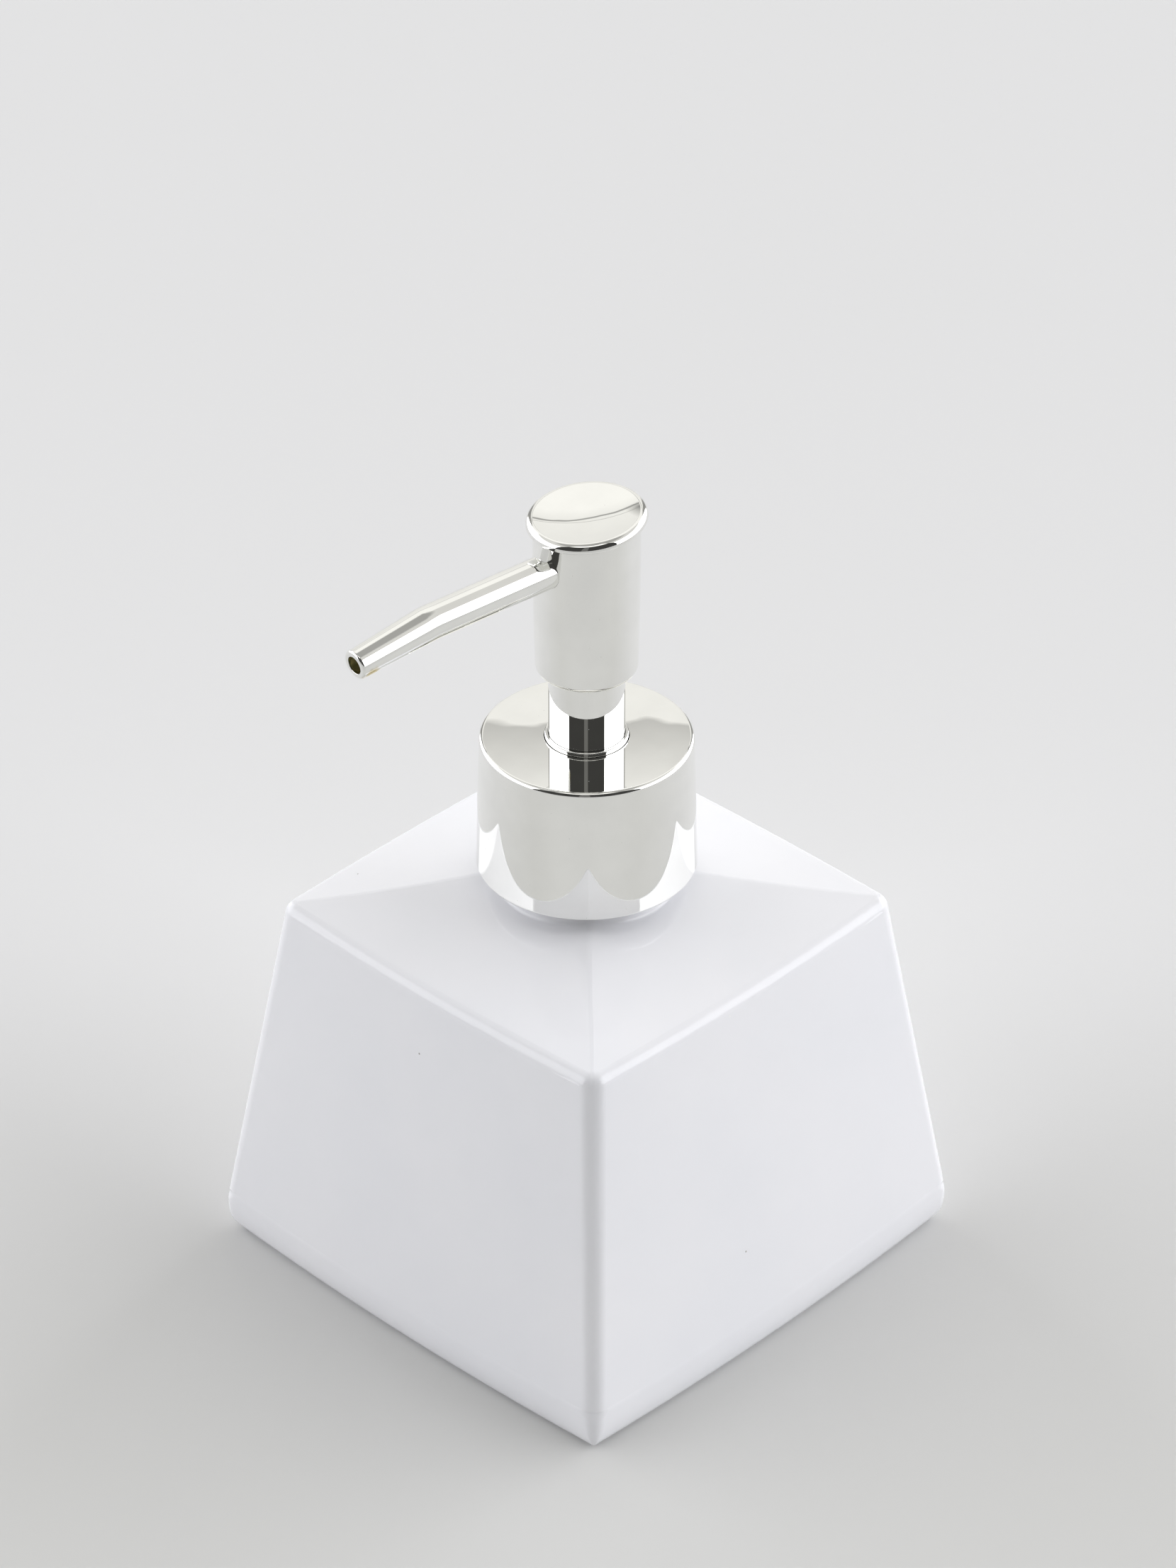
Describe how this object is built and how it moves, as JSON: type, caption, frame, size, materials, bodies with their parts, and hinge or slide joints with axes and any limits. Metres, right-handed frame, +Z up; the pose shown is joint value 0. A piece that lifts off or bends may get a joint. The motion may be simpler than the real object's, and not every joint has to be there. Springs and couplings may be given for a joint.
{
  "type": "soap pump dispenser",
  "caption": "Square glazed bottle with rounded edges and a screw-on push pump that has a round collar, a dished cap and a long side spout.",
  "frame": {"origin": "centre of the bottle's foot, on the surface it stands on", "axes": "+Z up along the pump axis; X and Y square to the bottle's four walls; the spout points along -X at rest"},
  "size_m": [0.0885, 0.0868, 0.1371],
  "materials": {
    "glaze": "gloss glaze with fine specks",
    "adhesive": "cured",
    "neck_plastic": "moulded",
    "gasket": "soft",
    "cap_plastic": "moulded",
    "plated_shell": "mirror plated",
    "plated_head": "mirror plated",
    "pump_plastic": "natural",
    "seal_plastic": "soft natural",
    "core_plastic": "moulded",
    "liner_plastic": "moulded",
    "spring_steel": "drawn wire",
    "ball_steel": "polished"
  },
  "bodies": {
    "bottle": {"bottle_body": "glaze", "neck_insert": "neck_plastic", "insert_bond": "adhesive"},
    "pump_engine": {"pump_housing": "pump_plastic", "neck_gasket": "gasket", "guide_bush": "plated_shell", "ball_cage": "pump_plastic", "dip_tube": "pump_plastic", "return_spring": "spring_steel"},
    "closure": {"closure_cap": "cap_plastic", "collar_shell": "plated_shell"},
    "plunger": {"piston_seal": "seal_plastic"},
    "head": {"piston_stem": "pump_plastic", "valve_rod": "seal_plastic", "actuator_core": "core_plastic", "stem_sleeve": "plated_head", "head_barrel": "plated_head", "top_cap": "plated_head", "spout": "plated_head", "spout_liner": "liner_plastic"},
    "check_ball": {"inlet_ball": "ball_steel"}
  },
  "joints": [
    {"name": "pump_lift", "type": "slide", "parent": "bottle", "child": "pump_engine", "axis": [0, 0, 1], "range_m": [0, 0.00635]},
    {"name": "closure_turn", "type": "hinge", "parent": "pump_engine", "child": "closure", "pos_m": [0, 0, 0.0805], "axis": [0, 0, 1], "range_deg": [0, 540]},
    {"name": "press", "type": "slide", "parent": "pump_engine", "child": "plunger", "axis": [0, 0, 1], "range_m": [-0.0115, 0], "stiffness_N_per_m": 600, "deforming": ["return_spring"]},
    {"name": "swivel", "type": "hinge", "parent": "plunger", "child": "head", "pos_m": [0, 0, 0.1], "axis": [0, 0, 1], "continuous": true},
    {"name": "inlet_valve", "type": "slide", "parent": "pump_engine", "child": "check_ball", "axis": [0, 0, 1], "range_m": [0, 0.0015]}
  ],
  "couplings": [
    {"joint": "pump_lift", "follows": "closure_turn", "m_per_rad": 0.0006737}
  ]
}
